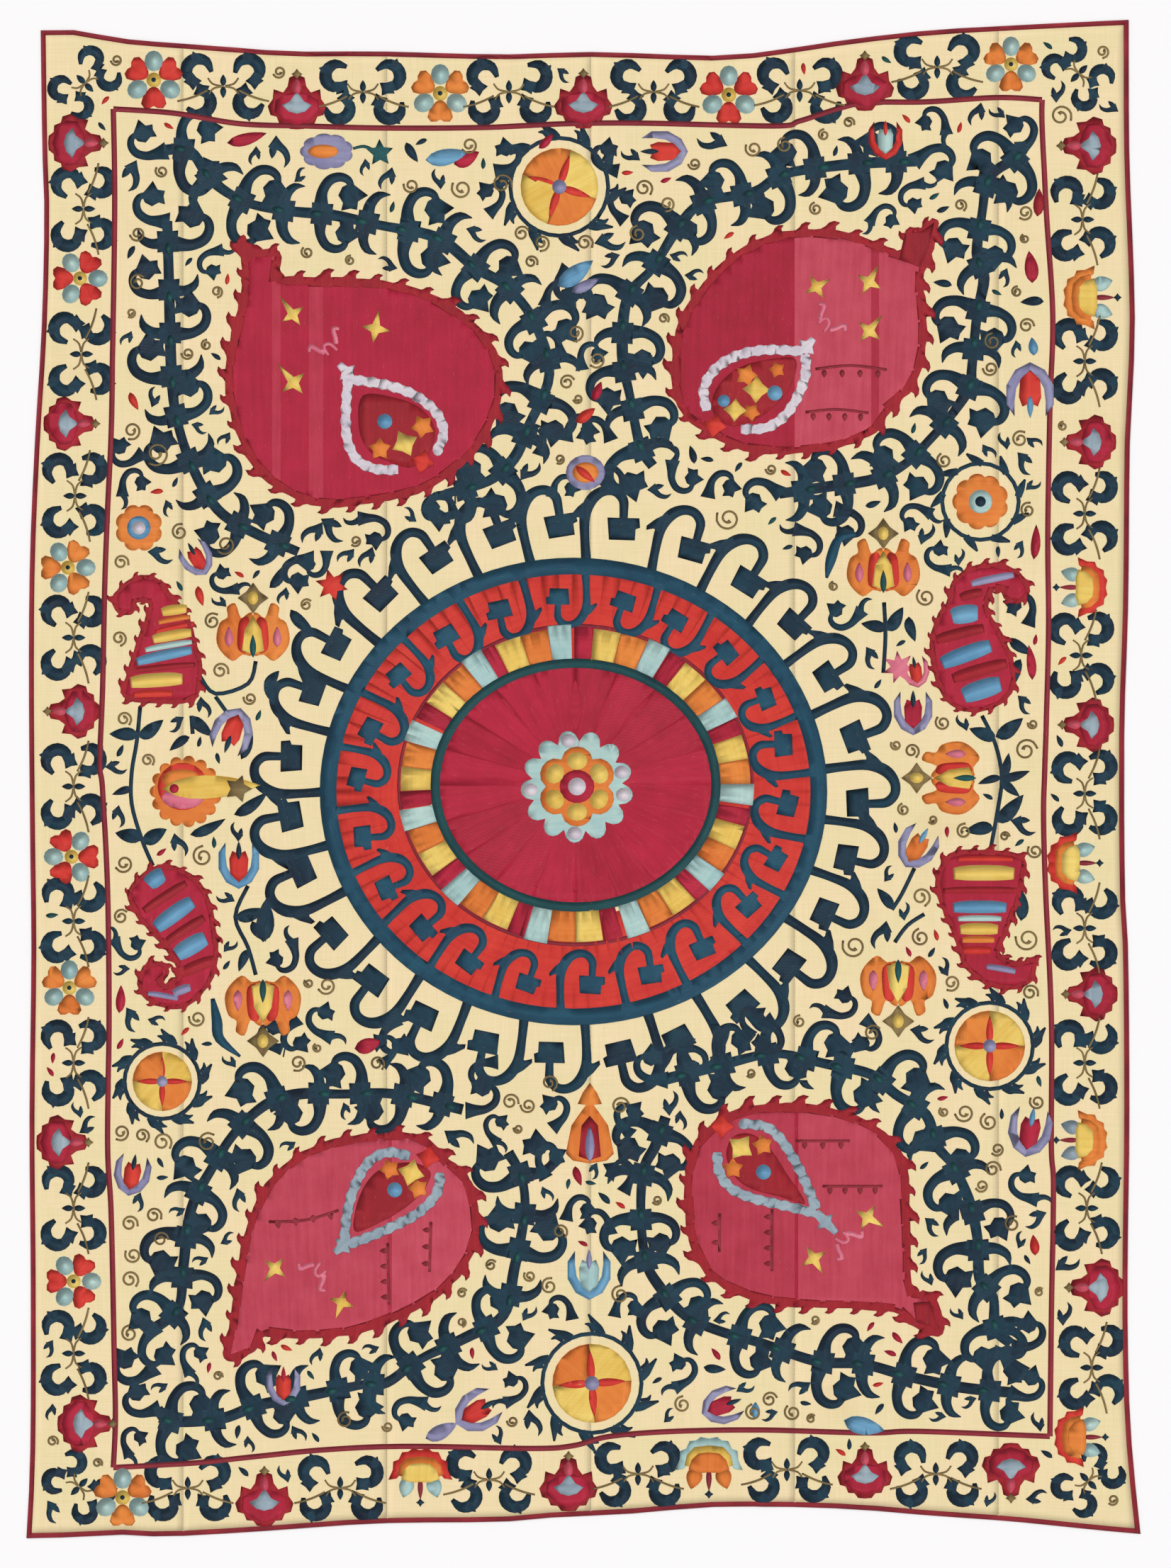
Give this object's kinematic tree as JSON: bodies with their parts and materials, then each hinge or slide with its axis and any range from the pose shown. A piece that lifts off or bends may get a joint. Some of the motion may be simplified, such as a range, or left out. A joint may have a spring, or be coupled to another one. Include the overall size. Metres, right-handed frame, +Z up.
{
  "type": "suzani embroidered textile",
  "caption": "Large hand-embroidered cotton hanging with a hooked medallion, corner palmettes and flower border, edged with braid, lying flat.",
  "frame": {"origin": "under the middle of the cloth's outline, on the surface that it lies on", "axes": "+X towards the right side as the face is read, +Y towards the top edge, +Z up out of the embroidered face"},
  "size_m": [1.804, 2.46, 0.0022],
  "materials": {
    "cotton": "matte",
    "braid_silk": "satin",
    "embroidery_silk": "satin"
  },
  "bodies": {
    "root": {"panel_1": "cotton", "panel_2": "cotton", "panel_3": "cotton", "panel_4": "cotton", "panel_5": "cotton", "panel_6": "cotton", "braid_top": "braid_silk", "braid_bottom": "braid_silk", "braid_left": "braid_silk", "braid_right": "braid_silk"}
  },
  "joints": []
}
